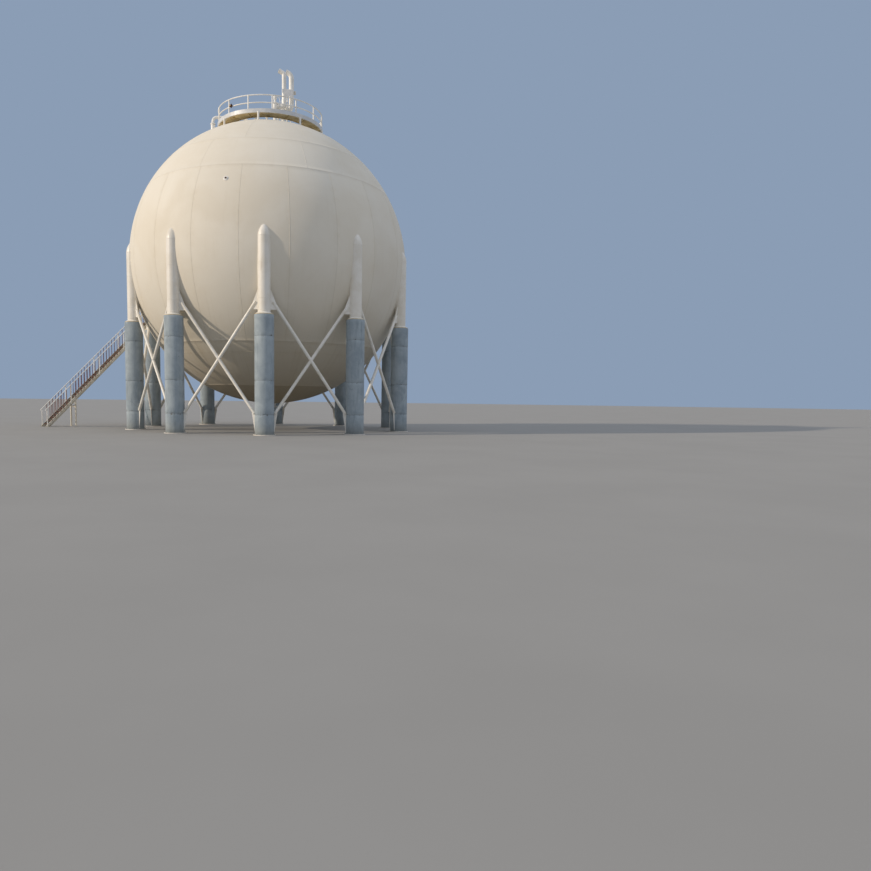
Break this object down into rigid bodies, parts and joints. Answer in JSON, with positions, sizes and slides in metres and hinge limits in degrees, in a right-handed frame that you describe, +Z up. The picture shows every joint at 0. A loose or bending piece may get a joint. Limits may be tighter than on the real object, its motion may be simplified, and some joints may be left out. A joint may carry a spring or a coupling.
{
  "type": "spherical gas storage tank",
  "caption": "Spherical pressure tank for liquefied gas on ten braced columns with fireproofed lower legs, an access stair, a crown walkway with railing, relief valves and vent stacks",
  "frame": {"origin": "on the ground, on the tank's vertical axis", "axes": "+Z is up; -Y points at column 1, which faces the picture's camera; +X is to the camera's right"},
  "size_m": [24.4144, 19.1953, 23.3039],
  "materials": {
    "shell": "cream white tank paint, satin",
    "column_pipe": "cream white paint, satin",
    "fireproofing": "blue-grey painted concrete fireproofing",
    "bracing": "white paint, satin",
    "walkway": "white paint, satin",
    "piping": "white paint, satin",
    "stair": "cream white paint with rust bleeding through on the treads"
  },
  "bodies": {
    "root": {"top_crown": "shell", "upper_belt": "shell", "equator_belt": "shell", "lower_belt": "shell", "bottom_crown": "shell", "column_01": "column_pipe", "column_02": "column_pipe", "column_03": "column_pipe", "column_04": "column_pipe", "column_05": "column_pipe", "column_06": "column_pipe", "column_07": "column_pipe", "column_08": "column_pipe", "column_09": "column_pipe", "column_10": "column_pipe", "column_sleeve_01": "fireproofing", "column_sleeve_02": "fireproofing", "column_sleeve_03": "fireproofing", "column_sleeve_04": "fireproofing", "column_sleeve_05": "fireproofing", "column_sleeve_06": "fireproofing", "column_sleeve_07": "fireproofing", "column_sleeve_08": "fireproofing", "column_sleeve_09": "fireproofing", "column_sleeve_10": "fireproofing", "cross_brace_01": "bracing", "cross_brace_02": "bracing", "cross_brace_03": "bracing", "cross_brace_04": "bracing", "cross_brace_05": "bracing", "cross_brace_06": "bracing", "cross_brace_07": "bracing", "cross_brace_08": "bracing", "cross_brace_09": "bracing", "cross_brace_10": "bracing", "walkway_deck": "walkway", "walkway_rail": "walkway", "relief_valve_1": "piping", "vent_stack_1": "piping", "relief_valve_2": "piping", "vent_stack_2": "piping", "stack_tie_plate": "piping", "spray_main": "piping", "stair_top_landing": "stair", "stair_upper_flight": "stair", "stair_mid_landing": "stair", "stair_lower_flight": "stair", "upper_handrail_inner": "stair", "lower_handrail_inner": "stair", "upper_handrail_outer": "stair", "lower_handrail_outer": "stair"}
  },
  "joints": []
}
